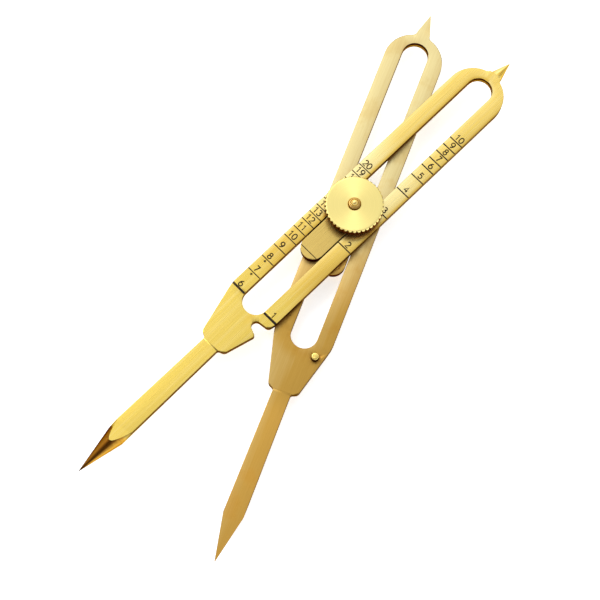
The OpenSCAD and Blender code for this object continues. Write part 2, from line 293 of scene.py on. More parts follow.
# Each numeral as single strokes in a cell one high, the way a stamp's face is cut
NUMERAL_W = 0.6
SIX = [np.concatenate([arc(0.56, 0.31, 0.56, 0.69, 100, 172), arc(0.3, 0.31, 0.3, 0.31, 172, 520, 22)])]
NUMERALS = {
    "0": [arc(0.32, 0.5, 0.32, 0.5, 90, 452, 30)],
    "1": [line((0.08, 0.74), (0.34, 1.0), (0.34, 0.0))],
    "2": [np.concatenate([arc(0.3, 0.71, 0.28, 0.29, 165, -38), line((0.02, 0.0), (0.6, 0.0))])],
    "3": [np.concatenate([arc(0.27, 0.76, 0.25, 0.24, 150, -78),
                          arc(0.27, 0.28, 0.31, 0.28, 78, -150)])],
    "4": [line((0.44, 0.0), (0.44, 1.0), (0.0, 0.3), (0.62, 0.3))],
    "5": [np.concatenate([line((0.54, 1.0), (0.1, 1.0), (0.06, 0.57)),
                          arc(0.27, 0.32, 0.31, 0.32, 122, -150)])],
    "6": SIX,
    "7": [line((0.02, 1.0), (0.58, 1.0), (0.2, 0.0))],
    "8": [arc(0.3, 0.76, 0.23, 0.24, -90, 266, 20), arc(0.3, 0.27, 0.29, 0.27, 90, 446, 22)],
    "9": [np.array([NUMERAL_W, 1.0]) - stroke for stroke in SIX],
}


def stroke_prism(path, width, low, high):
    """A bar of rectangular section carried along a flat path, which drops its repeated points.

    The path's normal n at a corner is (n1 + n2) / (1 + n1.n2), where n1 and n2 are the normals of
    its two sides, so that the bar keeps its width. The divisor is held within limits, so that a
    sharp corner makes no spike. Points are path + n width/2 and path - n width/2 at both heights.
    """
    least_step, least_divisor, most_divisor = 0.01 * MM, 0.6, 2
    moved = np.linalg.norm(np.diff(path, axis=0), axis=1) > least_step
    path = path[np.concatenate([[True], moved])]
    side = np.diff(path, axis=0)
    side /= np.linalg.norm(side, axis=1)[:, None]
    normal = np.stack([-side[:, 1], side[:, 0]], axis=-1)
    before = np.concatenate([normal[:1], normal])
    after = np.concatenate([normal, normal[-1:]])
    divisor = np.clip(1 + (before * after).sum(1, keepdims=True), least_divisor, most_divisor)
    reach = (before + after) / divisor * width / 2
    left, right = path + reach, path - reach
    n = len(path)
    points = np.concatenate([np.column_stack([p, np.full(n, h)])
                             for p, h in ((left, high), (right, high), (right, low), (left, low))])
    i = np.arange(n - 1)
    ring = [i, i + n, i + 2 * n, i + 3 * n]
    faces = [np.stack([ring[k], ring[(k + 1) % 4], ring[(k + 1) % 4] + 1, ring[k] + 1], axis=-1)
             for k in range(4)]
    ends = [[0, 3 * n, 2 * n, n], [n - 1, 2 * n - 1, 3 * n - 1, 4 * n - 1]]
    return points, np.concatenate(faces + [ends])


def joined(prisms):
    """Many small meshes as one: their points in a row, and their faces with shifted numbers."""
    points = np.concatenate([p for p, _ in prisms])
    starts = np.cumsum([0] + [len(p) for p, _ in prisms[:-1]])
    faces = np.concatenate([f + s for (_, f), s in zip(prisms, starts)])
    return points, faces


# The numerals' height, the gap between two as a share of it, and how far past the line they stand
NUMERAL_H = 2.1 * MM
NUMERAL_GAP = 0.2
NUMERAL_LEAD = 0.62 * MM
STROKE_W = 0.4 * MM
# How far the wax stands proud of the plate, and how deep it goes in
INK_PROUD = 0.012 * MM
INK_DEPTH = 0.06 * MM
# The scales' sizes: the index line's reach from the pivot, and how the photographed scales were struck
INDEX_REACH = 21.25 * MM
SCALE_SHIFT = 0.95 * MM
LINES_STRETCH = 1.03
GRADUATION_GAP = 3.4 * MM
# Widths of the waxed lines: each scale's first line, and the others of the two scales
FIRST_LINE_W = 0.8 * MM
CIRCLES_LINE_W = 0.36 * MM
LINES_LINE_W = 0.44 * MM
# Where the numerals of the two scales stand across the leg
UPPER_BAR, LOWER_BAR = 7.85 * MM, -7.6 * MM


def number_strokes(text, x, middle, top):
    """The strokes of a number that stands on the line at x and is read across the leg.

    With h the numerals' height, a point (a, b) of a numeral's cell, with b upwards, lies at x + b h
    along the leg and at start - a h across it, so that the number's middle comes to lie at middle.
    """
    advance = (NUMERAL_W + NUMERAL_GAP) * NUMERAL_H
    start = middle + (len(text) * advance - NUMERAL_GAP * NUMERAL_H) / 2
    along, across = np.array([1.0, 0.0]), np.array([0.0, -1.0])
    strokes = []
    for i, digit in enumerate(text):
        corner = np.array([x, start]) + i * advance * across
        for stroke in NUMERALS[digit]:
            path = corner + NUMERAL_H * (stroke[:, 1:] * along + stroke[:, :1] * across)
            strokes.append(stroke_prism(path, STROKE_W, top - INK_DEPTH, top + INK_PROUD))
    return strokes


def graduations(ratios, stretch=1.0):
    """Places along the leg where the slider's index stands at each ratio, as the scale was struck.

    The pivot is at length r / (r + 1) for a ratio of r to 1, which is length / 2 (r - 1) / (r + 1)
    past its place for 1 to 1. A place too near the last one moves on.
    """
    first = LEG_LENGTH / 2 - INDEX_REACH - SCALE_SHIFT
    places = []
    for r in ratios:
        at = first + stretch * LEG_LENGTH / 2 * (r - 1) / (r + 1)
        places.append(max(at, places[-1] + GRADUATION_GAP) if places else at)
    return places


def scale_marks(numbers, places, across, line_w):
    """Filled grooves over one bar of the front leg, each with its number past it.

    The wax stands a little proud of its groove and past its sides, as it does when it is rubbed in.
    """
    bar_low, bar_high = sorted((math.copysign(SLOT_HALF + EDGE_EASE, across),
                                math.copysign(FRAME_HALF - EDGE_EASE, across)))
    marks = []
    for i, (number, place) in enumerate(zip(numbers, places)):
        x = place - PIVOT_AT
        width = FIRST_LINE_W if i == 0 else line_w
        marks.append(stroke_prism(line((x, bar_low), (x, bar_high)), width,
                                  FRONT_TOP - INK_DEPTH, FRONT_TOP + INK_PROUD))
        marks += number_strokes(str(number), x + NUMERAL_LEAD, across, FRONT_TOP)
    return marks


# ---------------------------------------------------------------- node trees

def set_input(tree, socket, value):
    """Links a node's output into a socket, or sets the socket to a plain value."""
    if isinstance(value, bpy.types.NodeSocket):
        tree.links.new(value, socket)
    else:
        socket.default_value = value


def add_node(tree, kind, inputs=None, **settings):
    """A node with its settings made and its inputs linked, or set to a value."""
    made = tree.nodes.new(kind)
    for name, value in settings.items():
        setattr(made, name, value)
    for key, value in (inputs or {}).items():
        set_input(tree, made.inputs[key], value)
    return made


def new_group(name, inputs, outputs):
    """An empty shader node group with named sockets, and its two end nodes."""
    tree = bpy.data.node_groups.new(name, "ShaderNodeTree")
    for side, sockets in (("INPUT", inputs), ("OUTPUT", outputs)):
        for label, kind in sockets:
            tree.interface.new_socket(name=label, in_out=side, socket_type="NodeSocket" + kind)
    return tree, tree.nodes.new("NodeGroupInput"), tree.nodes.new("NodeGroupOutput")


def use_group(tree, group, **inputs):
    """A node that stands for a group, with its inputs linked or set."""
    made = tree.nodes.new("ShaderNodeGroup")
    made.node_tree = group
    for key, value in inputs.items():
        set_input(tree, made.inputs[key], value)
    return made


def math_node(tree, operation, *values, clamp=False):
    made = add_node(tree, "ShaderNodeMath", dict(enumerate(values)), operation=operation)
    made.use_clamp = clamp
    return made.outputs[0]


def times(tree, a, b):
    return math_node(tree, "MULTIPLY", a, b)


def plus(tree, a, b, clamp=False):
    return math_node(tree, "ADD", a, b, clamp=clamp)


def minus(tree, a, b):
    return math_node(tree, "SUBTRACT", a, b)


def smooth_range(tree, value, low, high, to_low=0.0, to_high=1.0):
    """The value's place between low and high, eased, as a number from to_low to to_high."""
    return add_node(tree, "ShaderNodeMapRange",
                    {0: value, 1: low, 2: high, 3: to_low, 4: to_high},
                    interpolation_type="SMOOTHSTEP").outputs[0]


def mix_colour(tree, share, a, b, blend="MIX"):
    """Colour a with a share of colour b mixed in."""
    made = add_node(tree, "ShaderNodeMix", data_type="RGBA", blend_type=blend)
    for index, value in ((0, share), (6, a), (7, b)):
        set_input(tree, made.inputs[index], value)
    return made.outputs[2]


def tinted(tree, share, colour, tint):
    """A colour multiplied by a tint, over a share of it."""
    return mix_colour(tree, share, colour, mix_colour(tree, 1.0, colour, tint, "MULTIPLY"))


def brushed_grain_group():
    """Streaks along X: noise squeezed across the grain. Width is a streak's width in metres."""
    tree, given, out = new_group("brushed_grain", [("Vector", "Vector"), ("Width", "Float")],
                                 [("Grain", "Float")])
    length_ratio = 45.0
    across = math_node(tree, "DIVIDE", 1.0, given.outputs["Width"])
    along = math_node(tree, "DIVIDE", across, length_ratio)
    scale = add_node(tree, "ShaderNodeCombineXYZ", {0: along, 1: across, 2: across})
    squeezed = add_node(tree, "ShaderNodeVectorMath", {0: given.outputs["Vector"], 1: scale.outputs[0]},
                        operation="MULTIPLY")
    noise = add_node(tree, "ShaderNodeTexNoise", {"Vector": squeezed.outputs[0], "Scale": 1.0,
                                                  "Detail": 3.0, "Roughness": 0.6})
    tree.links.new(noise.outputs[0], out.inputs["Grain"])
    return tree


def tarnish_group():
    """Soft blotches of a given size. The nearer Amount is to 1, the more of the metal they cover."""
    tree, given, out = new_group("tarnish",
                                 [("Vector", "Vector"), ("Size", "Float"), ("Amount", "Float")],
                                 [("Mask", "Float")])
    clean_start, lowered_by, softness = 0.8, 0.6, 0.16
    scale = math_node(tree, "DIVIDE", 1.0, given.outputs["Size"])
    noise = add_node(tree, "ShaderNodeTexNoise", {"Vector": given.outputs["Vector"], "Scale": scale,
                                                  "Detail": 5.0, "Roughness": 0.55})
    start = minus(tree, clean_start, times(tree, given.outputs["Amount"], lowered_by))
    stop = plus(tree, start, softness)
    tree.links.new(smooth_range(tree, noise.outputs[0], start, stop), out.inputs["Mask"])
    return tree


def turning_group():
    """Rings round the Z axis, from the distance r to it: noise read at r alone. Pitch in metres."""
    tree, given, out = new_group("turning", [("Vector", "Vector"), ("Pitch", "Float")],
                                 [("Ring", "Float"), ("Radius", "Float")])
    flat = add_node(tree, "ShaderNodeVectorMath", {0: given.outputs["Vector"], 1: (1.0, 1.0, 0.0)},
                    operation="MULTIPLY")
    length = add_node(tree, "ShaderNodeVectorMath", {0: flat.outputs[0]}, operation="LENGTH")
    radius = length.outputs["Value"]
    noise = add_node(tree, "ShaderNodeTexNoise",
                     {"W": math_node(tree, "DIVIDE", radius, given.outputs["Pitch"]),
                      "Scale": 1.0, "Detail": 2.0}, noise_dimensions="1D")
    tree.links.new(noise.outputs[0], out.inputs["Ring"])
    tree.links.new(radius, out.inputs["Radius"])
    return tree


def plate_faces_group():
    """Which way a face looks: Wall is 1 on upright walls, Sloped off the flats, Below underneath."""
    tree, _, out = new_group("plate_faces", [],
                             [("Wall", "Float"), ("Sloped", "Float"), ("Below", "Float")])
    normal = add_node(tree, "ShaderNodeTexCoord").outputs["Normal"]
    lift = add_node(tree, "ShaderNodeSeparateXYZ", {0: normal}).outputs[2]
    upward = math_node(tree, "ABSOLUTE", lift)
    tree.links.new(smooth_range(tree, upward, 0.05, 0.45, 1.0, 0.0), out.inputs["Wall"])
    tree.links.new(smooth_range(tree, upward, 0.985, 0.998, 1.0, 0.0), out.inputs["Sloped"])
    tree.links.new(smooth_range(tree, lift, -0.8, -0.3, 1.0, 0.0), out.inputs["Below"])
    return tree


def leg_form_group():
    """Where a point lies across a leg's bars and blade, from -1 on one edge to 1 on the other.

    Round the slot the distance d to the segment between the slot's two end centres runs from the
    slot's edge to the frame's edge, and Across is its share of that way, signed by the side.
    Crown is the height of the polished face, which falls off as Across squared.
    """
    tree, given, out = new_group("leg_form", [("Vector", "Vector")],
                                 [("Along", "Float"), ("Across", "Float"), ("Crown", "Float")])
    crown_height = 0.045 * MM
    blade_half = 3.3 * MM
    root_at, frame_at = 60 * MM, 78 * MM
    buffed_from, buffed_to = 84 * MM, 104 * MM
    part = add_node(tree, "ShaderNodeSeparateXYZ", {0: given.outputs["Vector"]})
    along, across = part.outputs[0], part.outputs[1]
    past_near = math_node(tree, "MAXIMUM", minus(tree, SLOT_NEAR_AT, along), 0.0)
    past_far = math_node(tree, "MAXIMUM", minus(tree, along, SLOT_FAR_AT), 0.0)
    past = plus(tree, past_near, past_far)
    distance = add_node(tree, "ShaderNodeVectorMath",
                        {0: add_node(tree, "ShaderNodeCombineXYZ", {0: past, 1: across}).outputs[0]},
                        operation="LENGTH").outputs["Value"]
    bar = add_node(tree, "ShaderNodeMapRange", {0: distance, 1: SLOT_HALF, 2: FRAME_HALF, 3: -1.0, 4: 1.0},
                   clamp=True).outputs[0]
    outward = times(tree, bar, math_node(tree, "SIGN", across))
    blade = math_node(tree, "DIVIDE", across, blade_half)
    in_frame = smooth_range(tree, along, root_at, frame_at)
    place = add_node(tree, "ShaderNodeMix", {0: in_frame, 2: blade, 3: outward}).outputs[0]
    squared = math_node(tree, "POWER", math_node(tree, "ABSOLUTE", place), 2.0)
    fall = times(tree, squared, smooth_range(tree, along, buffed_from, buffed_to, 0.0, -crown_height))
    tree.links.new(along, out.inputs["Along"])
    tree.links.new(place, out.inputs["Across"])
    tree.links.new(fall, out.inputs["Crown"])
    return tree


GRAIN = brushed_grain_group()
TARNISH = tarnish_group()
TURNING = turning_group()
PLATE_FACES = plate_faces_group()
LEG_FORM = leg_form_group()


# ---------------------------------------------------------------- finishes

def rgb(r, g, b):
    return (r, g, b, 1.0)


# What brass mirrors at a grazing angle, and the painted shade of the walls: a painted shadow, a paler
# painted band, and a brown that also colours tarnish specks and the eased edges' wear and painted shade
GRAZING_TINT = rgb(0.42, 0.28, 0.08)
WALL_PAINTED_SHADOW, WALL_PAINTED_BAND, SHADE_AND_TARNISH_BROWN = rgb(0.035, 0.014, 0.003), rgb(0.42, 0.26, 0.08), rgb(0.22, 0.1, 0.02)
SLIDER_WALL_SHADE = rgb(0.09, 0.03, 0.006)


def new_material(name, preview):
    """A material of a viewport colour, with its node tree and its Principled shader."""
    made = bpy.data.materials.new(name)
    made.use_nodes = True
    made.diffuse_color = preview
    tree = made.node_tree
    return made, tree, tree.nodes["Principled BSDF"]


def object_place(tree):
    return add_node(tree, "ShaderNodeTexCoord").outputs["Object"]


def leg_place(tree, turn, shift=0.0):
    """A point's place along a leg that is turned by an angle, with X counted from -shift."""
    return add_node(tree, "ShaderNodeMapping", {"Vector": object_place(tree), "Rotation": (0, 0, -turn),
                                                "Location": (shift, 0, 0)}).outputs[0]


def finish_brass(tree, shader, colour, rough, height, **others):
    """Links a brass's colour, its roughness, its bump from a height in metres, and other sockets."""
    bump = add_node(tree, "ShaderNodeBump", {"Height": height, "Distance": 1.0, "Strength": 1.0})
    links = {"Base Color": colour, "Roughness": rough, "Normal": bump.outputs[0], **others}
    for socket, value in links.items():
        tree.links.new(value, shader.inputs[socket])
    shader.inputs["Metallic"].default_value = 1.0
    shader.inputs["Specular Tint"].default_value = GRAZING_TINT


def front_polish(tree, along, across, broad):
    """Gold with painted light: brighter past the nut, a painted cream highlight in the bars' middle reach
    and on their left edges, mixed with cream streaks of the grain, and painted shade on their right edges.
    """
    blade_gold, bar_gold, lit_far_gold = rgb(0.73, 0.55, 0.115), rgb(0.72, 0.5, 0.1), rgb(0.84, 0.62, 0.15)
    highlight_cream, shade_gold = rgb(0.9, 0.79, 0.39), rgb(0.66, 0.42, 0.06)
    broad_middle, broad_gain = 0.45, 1.1
    # Painted highlight: brighter past the nut, and cream in the middle reach and on the left edges
    highlight_past_nut = smooth_range(tree, along, 100 * MM, 122 * MM)
    middle = times(tree, smooth_range(tree, along, 112 * MM, 126 * MM),
                   smooth_range(tree, along, 142 * MM, 158 * MM, 0.75, 0.08))
    in_bars = smooth_range(tree, along, 84 * MM, 98 * MM)
    highlight_and_grain = times(tree, middle, smooth_range(tree, across, -1.0, -0.3))
    painted_left_edge = times(tree, in_bars, smooth_range(tree, across, 0.4, 1.0, 0.0, 0.35))
    streaks = times(tree, minus(tree, broad, broad_middle), broad_gain)
    highlight_and_grain = plus(tree, plus(tree, highlight_and_grain, painted_left_edge), streaks, clamp=True)
    # Painted shade on the bars' right edges
    right_edge_shade = times(tree, in_bars, smooth_range(tree, across, -1.0, -0.55, 0.7, 0.0))
    colour = mix_colour(tree, in_bars, blade_gold, bar_gold)
    colour = mix_colour(tree, highlight_past_nut, colour, lit_far_gold)
    colour = mix_colour(tree, highlight_and_grain, colour, highlight_cream)
    return mix_colour(tree, right_edge_shade, colour, shade_gold)


def back_polish(tree, along, across, broad):
    """Tan on the blade, browner on the root, with a painted highlight that pales it along the bars and
    towards their left edges, and paler streaks of the grain.
    """
    blade_tan, root_brown, highlight_bar_pale = rgb(0.61, 0.36, 0.075), rgb(0.5, 0.3, 0.062), rgb(0.75, 0.64, 0.32)
    left_highlight_gain, broad_middle, broad_gain = 0.16, 0.5, 0.3
    # Painted highlight: paler past the nut and towards the left edges
    highlight_past_nut = smooth_range(tree, along, 78 * MM, 146 * MM)
    root = times(tree, smooth_range(tree, along, 50 * MM, 62 * MM),
                 smooth_range(tree, along, 84 * MM, 104 * MM, 1.0, 0.0))
    pale = plus(tree, highlight_past_nut, times(tree, across, left_highlight_gain))
    pale = plus(tree, pale, times(tree, minus(tree, broad, broad_middle), broad_gain), clamp=True)
    return mix_colour(tree, pale, mix_colour(tree, root, blade_tan, root_brown), highlight_bar_pale)


def ground_patina(tree, along, across_plate):
    """The hand-ground long point with a painted reflection of dark surroundings: darker to the left, a
    nearly black left edge and a reddish streak down its middle, and a nearly black tip.

    Its half width is the distance from the tip times the cone's slope, and a little for the blunt
    tip. share is the place across as a share of that, from -1 on the right edge to 1 on the left.
    """
    bronze, dark_bronze = rgb(0.58, 0.3, 0.04), rgb(0.27, 0.11, 0.01)
    reddish, nearly_black = rgb(0.17, 0.045, 0.004), rgb(0.09, 0.035, 0.006)
    half_slope, tip_half, streak_share = 0.209, 0.3 * MM, 0.8
    half_width = plus(tree, times(tree, along, half_slope), tip_half)
    share = math_node(tree, "DIVIDE", across_plate, half_width)
    # Painted reflection: the dark left edge and the reddish streak
    painted_left_edge = smooth_range(tree, share, 0.5, 0.8)
    streak = times(tree, smooth_range(tree, share, -0.6, -0.4),
                   smooth_range(tree, share, -0.1, 0.25, 1.0, 0.0))
    tip = smooth_range(tree, along, 0.5 * MM, 5 * MM, 1.0, 0.0)
    colour = mix_colour(tree, smooth_range(tree, share, -0.4, 0.1), bronze, dark_bronze)
    colour = mix_colour(tree, times(tree, streak, streak_share), colour, reddish)
    return mix_colour(tree, math_node(tree, "MAXIMUM", painted_left_edge, tip), colour, nearly_black)


def plate_wall(tree, depth):
    """A wall's painted shade: a painted shadow under its top edge, a paler painted band half way down, and
    brown below.

    depth is the depth under the plate's top as a share of the plate's thickness.
    """
    middle = times(tree, smooth_range(tree, depth, 0.4, 0.6),
                   smooth_range(tree, depth, 0.7, 0.9, 1.0, 0.0))
    under_edge = smooth_range(tree, depth, 0.3, 0.6, 1.0, 0.0)
    return mix_colour(tree, middle, mix_colour(tree, under_edge, SHADE_AND_TARNISH_BROWN, WALL_PAINTED_SHADOW), WALL_PAINTED_BAND)


def leg_brass(name, turn, top, painted_flats, roughness, tarnish_amount):
    """Brushed brass of a leg whose own X axis is turned from the frame's by an angle.

    The flats' colouring, given as a function, holds painted highlights and painted shade. Eased edges are
    brown, from wear and painted shade, but not round the points; the walls take painted shade, and the
    long point's ground faces take a painted reflection.
    """
    dull, stained = rgb(0.72, 0.6, 0.42), rgb(0.74, 0.58, 0.3)
    point_end, blade_start, wear_and_shade_share = 17 * MM, 18.5 * MM, 0.45
    made, tree, shader = new_material(name, rgb(0.73, 0.54, 0.105))
    here = leg_place(tree, turn, PIVOT_AT)
    form = use_group(tree, LEG_FORM, Vector=here)
    along, across, crown = (form.outputs[k] for k in ("Along", "Across", "Crown"))
    fine = use_group(tree, GRAIN, Vector=here, Width=0.22 * MM).outputs[0]
    broad = use_group(tree, GRAIN, Vector=here, Width=1.5 * MM).outputs[0]
    stain = use_group(tree, TARNISH, Vector=here, Size=9 * MM, Amount=tarnish_amount).outputs[0]
    specks = use_group(tree, TARNISH, Vector=here, Size=0.9 * MM, Amount=0.22).outputs[0]
    faces = use_group(tree, PLATE_FACES)

    # The flats' colour, with its painted highlights and painted shade
    colour = painted_flats(tree, along, across, broad)
    colour = tinted(tree, smooth_range(tree, fine, 0.3, 0.7, 0.0, 0.22), colour, dull)
    colour = tinted(tree, times(tree, stain, 0.3), colour, stained)
    colour = mix_colour(tree, times(tree, specks, 0.3), colour, SHADE_AND_TARNISH_BROWN)
    place = add_node(tree, "ShaderNodeSeparateXYZ", {0: here})
    depth = math_node(tree, "DIVIDE", minus(tree, top, place.outputs[2]), PLATE_T)
    # Brown on the eased edges, wear and painted shade together, then painted shade on the walls
    past_long = smooth_range(tree, along, point_end, blade_start, 0.0, wear_and_shade_share)
    before_short = smooth_range(tree, along, SLOT_FAR_AT, SLOT_FAR_AT + 4 * MM, 1.0, 0.0)
    worn_and_shaded_edge = times(tree, faces.outputs["Sloped"], times(tree, past_long, before_short))
    colour = mix_colour(tree, worn_and_shaded_edge, colour, SHADE_AND_TARNISH_BROWN)
    colour = mix_colour(tree, faces.outputs["Wall"], colour, plate_wall(tree, depth))
    # The long point's ground faces take a painted reflection
    long_point = smooth_range(tree, along, point_end, blade_start, 1.0, 0.0)
    colour = mix_colour(tree, times(tree, faces.outputs["Sloped"], long_point), colour,
                        ground_patina(tree, along, place.outputs[1]))

    rough = plus(tree, roughness, times(tree, fine, 0.1))
    rough = plus(tree, rough, times(tree, stain, 0.1))
    height = plus(tree, crown, times(tree, fine, 0.002 * MM))
    finish_brass(tree, shader, colour, rough, height)
    return made


def slider_brass(name, turn, base, stain_colour, stain_amount, roughness=0.3):
    """Satin brass rubbed lengthwise in the slot, with stains where it has lain under the plate."""
    dull, bright = rgb(0.7, 0.58, 0.4), rgb(1.18, 1.15, 1.1)
    made, tree, shader = new_material(name, base)
    here = leg_place(tree, turn)
    fine = use_group(tree, GRAIN, Vector=here, Width=0.2 * MM).outputs[0]
    broad = use_group(tree, GRAIN, Vector=here, Width=1.2 * MM).outputs[0]
    stain = use_group(tree, TARNISH, Vector=here, Size=3 * MM, Amount=stain_amount).outputs[0]
    faces = use_group(tree, PLATE_FACES)
    colour = tinted(tree, smooth_range(tree, fine, 0.3, 0.75, 0.0, 0.3), base, dull)
    colour = tinted(tree, smooth_range(tree, broad, 0.35, 0.75, 0.0, 0.4), colour, bright)
    colour = mix_colour(tree, times(tree, stain, 0.8), colour, stain_colour)
    # Painted shade on the slider's walls
    colour = mix_colour(tree, faces.outputs["Wall"], colour, SLIDER_WALL_SHADE)
    rough = plus(tree, roughness, times(tree, fine, 0.14))
    finish_brass(tree, shader, colour, rough, times(tree, fine, 0.004 * MM))
    return made


def turned_brass(name, base, rim_colour, rim_from, roughness=0.28, anisotropy=0.75, shadow_ring=None):
    """Lathe-turned brass: rings round the Z axis, and painted shade on the walls beyond the radius
    rim_from.

    Its underside has the same painted shade as the rim, and so has the ring between the two given radii, a
    painted shadow round the bolt's button.
    """
    dull, bright, stained = rgb(0.7, 0.6, 0.42), rgb(1.08, 1.08, 1.12), rgb(0.75, 0.6, 0.35)
    made, tree, shader = new_material(name, base)
    here = object_place(tree)
    fine = use_group(tree, TURNING, Vector=here, Pitch=0.12 * MM)
    coarse = use_group(tree, TURNING, Vector=here, Pitch=0.7 * MM)
    stain = use_group(tree, TARNISH, Vector=here, Size=2.5 * MM, Amount=0.3).outputs[0]
    faces = use_group(tree, PLATE_FACES)
    ring, radius = fine.outputs["Ring"], fine.outputs["Radius"]
    colour = tinted(tree, smooth_range(tree, ring, 0.3, 0.7, 0.0, 0.16), base, dull)
    colour = tinted(tree, smooth_range(tree, coarse.outputs["Ring"], 0.4, 0.7, 0.0, 0.3), colour, bright)
    colour = tinted(tree, times(tree, stain, 0.18), colour, stained)
    # Painted shade on the walls past rim_from and on the underside, and a painted shadow ring
    outer = smooth_range(tree, radius, rim_from - 0.25 * MM, rim_from + 0.05 * MM)
    dark = math_node(tree, "MAXIMUM", times(tree, faces.outputs["Wall"], outer), faces.outputs["Below"])
    if shadow_ring:
        inside, outside, fade = *shadow_ring, 0.12 * MM
        ring_shadow = times(tree, smooth_range(tree, radius, inside - fade, inside + fade, 0.0, 0.7),
                    smooth_range(tree, radius, outside - fade, outside + fade, 1.0, 0.0))
        dark = math_node(tree, "MAXIMUM", dark, ring_shadow)
    colour = mix_colour(tree, dark, colour, rim_colour)
    rough = plus(tree, roughness, times(tree, ring, 0.08))
    tangent = add_node(tree, "ShaderNodeTangent", direction_type="RADIAL", axis="Z")
    finish_brass(tree, shader, colour, rough, times(tree, ring, 0.0025 * MM), Tangent=tangent.outputs[0])
    shader.inputs["Anisotropic"].default_value = anisotropy
    return made


def engraving_wax(name):
    """Dark wax rubbed into the engraved lines, browner and rougher where it has worn."""
    dark_wax, worn_wax = rgb(0.012, 0.006, 0.002), rgb(0.09, 0.045, 0.01)
    made, tree, shader = new_material(name, rgb(0.05, 0.03, 0.01))
    worn = use_group(tree, TARNISH, Vector=object_place(tree), Size=1.1 * MM, Amount=0.5).outputs[0]
    tree.links.new(mix_colour(tree, worn, dark_wax, worn_wax), shader.inputs["Base Color"])
    tree.links.new(plus(tree, 0.55, times(tree, worn, 0.2)), shader.inputs["Roughness"])
    shader.inputs["Specular IOR Level"].default_value = 0.2
    return made


FRONT_BRASS = leg_brass("front_leg_brushed", 0.0, FRONT_TOP, front_polish, 0.22, 0.35)
BACK_BRASS = leg_brass("back_leg_satin", OPENING, BACK_TOP, back_polish, 0.26, 0.5)
FRONT_SLIDER_BRASS = slider_brass("front_slider_satin", 0.0, rgb(0.64, 0.47, 0.14),
                                  rgb(0.5, 0.36, 0.08), 0.3, roughness=0.2)
BACK_SLIDER_BRASS = slider_brass("back_slider_satin", OPENING, rgb(0.84, 0.53, 0.13),
                                 rgb(0.4, 0.2, 0.04), 0.5)
# The rim colours are painted shade on the turned pieces' walls and undersides
NUT_BRASS = turned_brass("nut_turned", rgb(0.88, 0.75, 0.28), rgb(0.26, 0.1, 0.03), 9.3 * MM,
                         anisotropy=0.6)
BOLT_BRASS = turned_brass("bolt_turned", rgb(0.93, 0.71, 0.25), rgb(0.3, 0.13, 0.02), 9.0 * MM,
                          roughness=0.2, shadow_ring=(1.25 * MM, 2.3 * MM))
# The washers' darker brown is painted shade, for the shade under the nut
WASHER_BRASS = turned_brass("washer_turned", rgb(0.5, 0.32, 0.09), rgb(0.2, 0.09, 0.02), 7.8 * MM,
                            roughness=0.34)
PIN_BRASS = turned_brass("pin_turned", rgb(0.9, 0.7, 0.2), rgb(0.2, 0.08, 0.02), 0.0, roughness=0.22)
WAX = engraving_wax("engraving_wax")


# ---------------------------------------------------------------- pieces

def make_thumb_nut():
    """Straight-knurled nut: V roots cut the rim's crests, between two chamfers that stay round.

    With p the distance to the nearest crest as a share of the tooth step, no ring's radius passes
    R - depth * clip((p - crest) / flank, 0, 1).
    """
    teeth, depth, samples = 40, 0.34 * MM, 16
    crest, flank = 0.2, 0.3
    outer = NUT_HIGH.x
    knurl_in = outer - 0.95 * MM
    hub_r, hub_t, bore_r = 6.75 * MM, 1.6 * MM, 2.05 * MM
    low, high = NUT_LOW.z, NUT_HIGH.z
    rim_low = low + hub_t
    edge, fall, soft = 0.4 * MM, 0.6 * MM, 0.08 * MM
    corners = [(bore_r, low, 0), (hub_r, low, 0.15 * MM), (hub_r, rim_low, 0.1 * MM),
               (knurl_in, rim_low, 0), (outer - edge, rim_low, soft), (outer, rim_low + edge, soft),
               (outer, high - fall, soft), (outer - edge, high, 0.06 * MM), (knurl_in, high, 0)]
    face = [(r, high, 0) for r in np.linspace(knurl_in, bore_r + 0.25 * MM, 8)[1:]]
    corners += face + [(bore_r, high - 0.2 * MM, 0.05 * MM), (bore_r, (low + high) / 2, 0)]

    def knurled(r, z, a):
        p = np.abs((a * teeth / (2 * np.pi) + 0.5) % 1 - 0.5)
        return np.minimum(r, outer - depth * np.clip((p - crest) / flank, 0, 1))

    points, faces = turned_ring(rounded_profile(corners, 3), teeth * samples, knurled)
    nut = make_piece("thumb_nut_knurled", points, faces, "thumb_nut", NUT_BRASS, 28)
    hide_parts("thumb_nut")
    return nut


